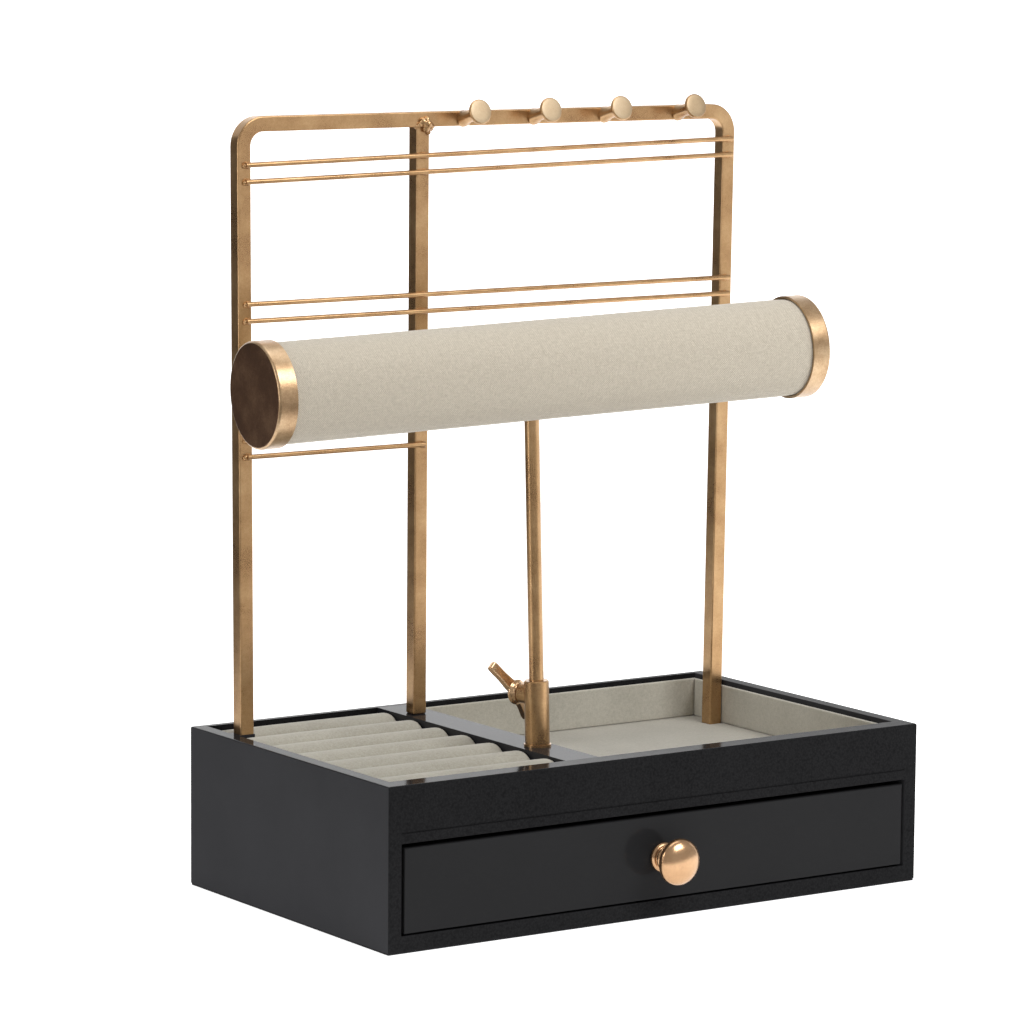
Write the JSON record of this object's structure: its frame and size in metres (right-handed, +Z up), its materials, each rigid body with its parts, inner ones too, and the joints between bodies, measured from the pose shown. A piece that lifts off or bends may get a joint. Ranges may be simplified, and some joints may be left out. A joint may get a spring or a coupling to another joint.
{
  "type": "jewelry stand with drawer",
  "caption": "Black box with ring rolls, open tray and drawer under a gold wire frame with necklace pegs and a swivelling padded bracelet bolster.",
  "frame": {"origin": "middle of the felt face that the box stands on, centred on the box's width and depth", "axes": "+Z up, +X to the right seen from the drawer side, the drawer opens towards -Y"},
  "size_m": [0.337, 0.1945, 0.3721],
  "materials": {
    "black_leatherette": "fibreboard wrapped in fine-grained black leatherette, satin",
    "black_lacquer": "fibreboard in smooth glossy black lacquer",
    "black_drawer_face": "fibreboard in smooth semi-gloss black",
    "black_board": "fibreboard painted matt black",
    "plain_wood": "plain pale wood",
    "black_felt": "thin black felt sheet",
    "velvet_card": "black card under the ring rolls",
    "roll_velvet": "beige-grey velvet over foam",
    "lining_velvet": "beige-grey velvet glued over board",
    "bolster_velvet": "beige-grey velvet with a fine woven back, stretched over thin foam",
    "gold_paint": "matt antique gold paint on steel, with darker strokes",
    "gold_metal": "brushed antique gold paint on turned metal",
    "zinc_steel": "zinc-plated screw",
    "kraft_card": "wound kraft card tube"
  },
  "bodies": {
    "base": {"bottom_felt": "black_felt", "bottom_panel": "black_board", "left_side_panel": "black_leatherette", "right_side_panel": "black_leatherette", "back_panel": "black_leatherette", "front_top_rail": "black_leatherette", "front_bottom_rail": "black_leatherette", "drawer_runner_left": "plain_wood", "drawer_runner_right": "plain_wood", "deck_panel": "black_board", "divider": "black_lacquer", "left_post_block": "black_lacquer", "ring_roll_base": "velvet_card", "ring_roll_1": "roll_velvet", "ring_roll_2": "roll_velvet", "ring_roll_3": "roll_velvet", "ring_roll_4": "roll_velvet", "ring_roll_5": "roll_velvet", "ring_roll_6": "roll_velvet", "ring_roll_7": "roll_velvet", "tray_floor_lining": "lining_velvet", "tray_front_lining": "lining_velvet", "tray_back_lining": "lining_velvet", "tray_left_lining": "lining_velvet", "tray_right_lining": "lining_velvet", "frame_hoop": "gold_paint", "middle_post": "gold_paint", "earring_wire_1": "gold_paint", "earring_wire_2": "gold_paint", "earring_wire_3": "gold_paint", "earring_wire_4": "gold_paint", "earring_wire_5": "gold_paint", "earring_wire_6": "gold_paint", "necklace_peg_1": "gold_metal", "necklace_peg_2": "gold_metal", "necklace_peg_3": "gold_metal", "necklace_peg_4": "gold_metal", "weld_beads": "gold_paint", "post_screws": "zinc_steel", "stem_collar": "gold_paint"},
    "stem": {"stem_rod": "gold_paint"},
    "bolster": {"bolster_tube": "kraft_card", "bolster_cover": "bolster_velvet", "end_cap_left": "gold_metal", "end_cap_right": "gold_metal", "stem_socket": "plain_wood"},
    "clamp_shank": {"clamp_screw_shank": "gold_metal"},
    "clamp_wing": {"clamp_screw_wing": "gold_metal"},
    "drawer": {"drawer_front": "black_drawer_face", "drawer_left_side": "black_board", "drawer_right_side": "black_board", "drawer_back": "black_board", "drawer_bottom": "black_board", "drawer_lining": "lining_velvet", "drawer_knob": "gold_metal", "knob_screw": "zinc_steel"}
  },
  "joints": [
    {"name": "drawer_slide", "type": "slide", "parent": "base", "child": "drawer", "axis": [0, -1, 0], "range_m": [0, 0.13]},
    {"name": "stem_height", "type": "slide", "parent": "base", "child": "stem", "axis": [-0.0314, 0, 0.9995], "range_m": [-0.028, 0.01]},
    {"name": "bolster_swivel", "type": "hinge", "parent": "stem", "child": "bolster", "pos_m": [-0.04277, -0.0393, 0.25211], "axis": [-0.0314, 0, 0.9995], "range_deg": [-25, 31]},
    {"name": "clamp_advance", "type": "slide", "parent": "base", "child": "clamp_shank", "axis": [-0.2587, 0.9659, -0.0081], "range_m": [0, 0.0016]},
    {"name": "clamp_turn", "type": "hinge", "parent": "clamp_shank", "child": "clamp_wing", "pos_m": [-0.04111, -0.02771, 0.10039], "axis": [-0.2587, 0.9659, -0.0081], "range_deg": [0, 720]}
  ],
  "couplings": [
    {"joint": "clamp_advance", "follows": "clamp_turn", "m_per_rad": 0.00012732}
  ]
}
